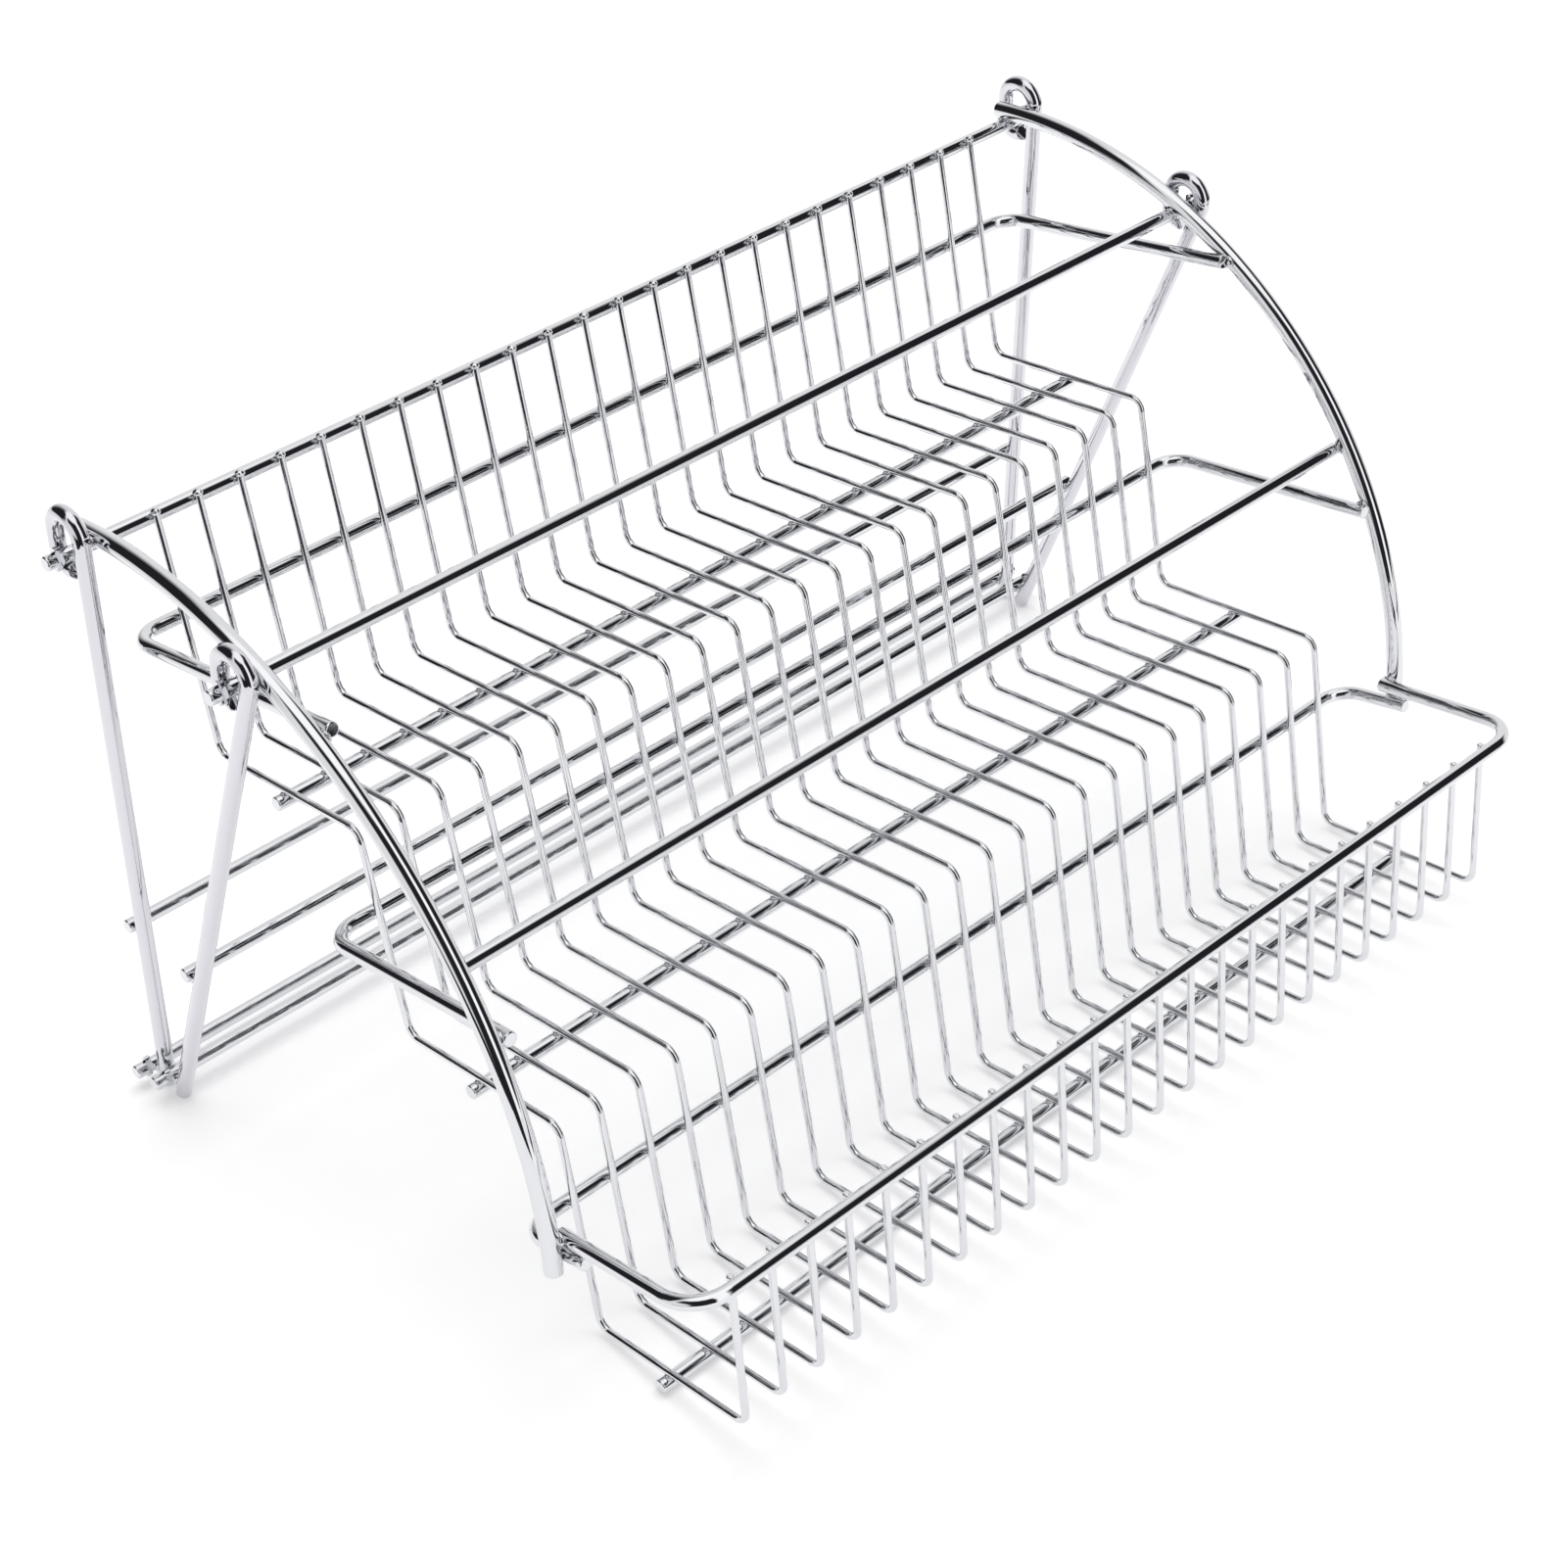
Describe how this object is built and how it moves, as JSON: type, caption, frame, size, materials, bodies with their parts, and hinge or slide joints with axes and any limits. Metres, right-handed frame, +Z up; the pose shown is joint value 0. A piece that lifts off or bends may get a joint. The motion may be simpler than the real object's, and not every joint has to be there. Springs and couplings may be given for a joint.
{
  "type": "pull-out spice rack",
  "caption": "Stepped wire basket for spice jars, hung on swinging wire link frames that let it come out of a cupboard and down.",
  "frame": {"origin": "centre of the bounding box at the surface that the rack stands on", "axes": "+X to the rack's right seen from its front, along the pivot rods; -Y to the front, where the lip bar is; +Z up"},
  "size_m": [0.3492, 0.2138, 0.1831],
  "materials": {
    "grid_wire": "bright plated",
    "frame_wire": "bright plated",
    "leg_wire": "bright plated"
  },
  "bodies": {
    "basket": {"bottom_front_hoop": "frame_wire", "bottom_rear_hoop": "frame_wire", "bottom_support_wire": "frame_wire", "front_pivot_rod": "frame_wire", "grid_wire_01": "grid_wire", "grid_wire_02": "grid_wire", "grid_wire_03": "grid_wire", "grid_wire_04": "grid_wire", "grid_wire_05": "grid_wire", "grid_wire_06": "grid_wire", "grid_wire_07": "grid_wire", "grid_wire_08": "grid_wire", "grid_wire_09": "grid_wire", "grid_wire_10": "grid_wire", "grid_wire_11": "grid_wire", "grid_wire_12": "grid_wire", "grid_wire_13": "grid_wire", "grid_wire_14": "grid_wire", "grid_wire_15": "grid_wire", "grid_wire_16": "grid_wire", "grid_wire_17": "grid_wire", "grid_wire_18": "grid_wire", "grid_wire_19": "grid_wire", "grid_wire_20": "grid_wire", "grid_wire_21": "grid_wire", "grid_wire_22": "grid_wire", "grid_wire_23": "grid_wire", "grid_wire_24": "grid_wire", "left_side_arc": "frame_wire", "middle_hoop": "frame_wire", "middle_rail": "frame_wire", "middle_support_wire": "frame_wire", "rear_pivot_rod": "frame_wire", "right_side_arc": "frame_wire", "top_hoop": "frame_wire", "top_support_wire": "frame_wire"},
    "rear_link_frame": {"rear_left_leg": "leg_wire", "rear_right_leg": "leg_wire", "rear_cross_wire": "frame_wire", "rear_foot_rod": "frame_wire"},
    "front_link_frame": {"front_left_leg": "leg_wire", "front_right_leg": "leg_wire", "front_cross_wire": "frame_wire", "front_foot_rod": "frame_wire"}
  },
  "joints": [
    {"name": "rear_link_swing", "type": "hinge", "parent": "basket", "child": "rear_link_frame", "pos_m": [0, 0.10002, 0.16932], "axis": [1, 0, 0], "range_deg": [0, 65]},
    {"name": "front_link_swing", "type": "hinge", "parent": "basket", "child": "front_link_frame", "pos_m": [0, 0.03543, 0.16296], "axis": [1, 0, 0], "range_deg": [-30, 0]}
  ]
}
